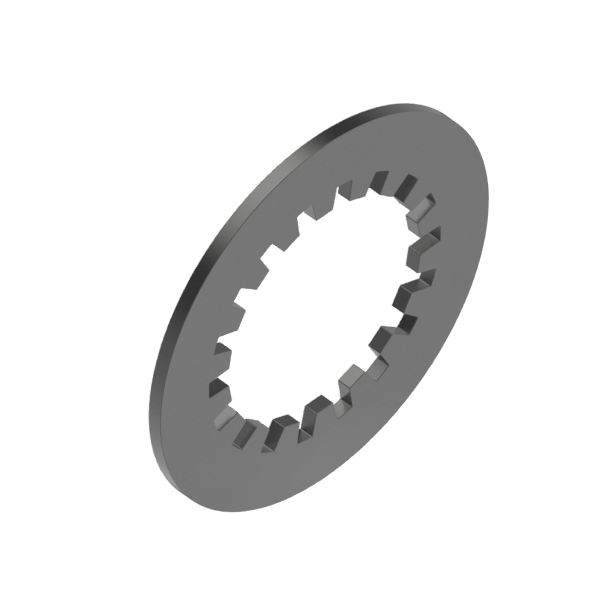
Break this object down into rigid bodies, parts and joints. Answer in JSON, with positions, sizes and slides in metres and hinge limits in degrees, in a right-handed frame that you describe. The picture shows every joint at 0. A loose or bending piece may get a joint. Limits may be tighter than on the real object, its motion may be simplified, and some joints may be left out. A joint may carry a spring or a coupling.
{
  "type": "thrust washer",
  "caption": "Flat steel thrust washer, a plain ring with square-ended teeth standing inwards round its hole to turn with a splined shaft.",
  "frame": {"origin": "centre of the bottom face, on the washer's axis", "axes": "+Z along the washer's axis, up through its thickness; +Y along the centre line of one tooth"},
  "size_m": [0.055, 0.055, 0.002],
  "materials": {
    "ground_steel": "dark satin steel, hardened, ground on both faces and tumbled, with a light film of oil"
  },
  "bodies": {
    "root": {"thrust_washer": "ground_steel"}
  },
  "joints": []
}
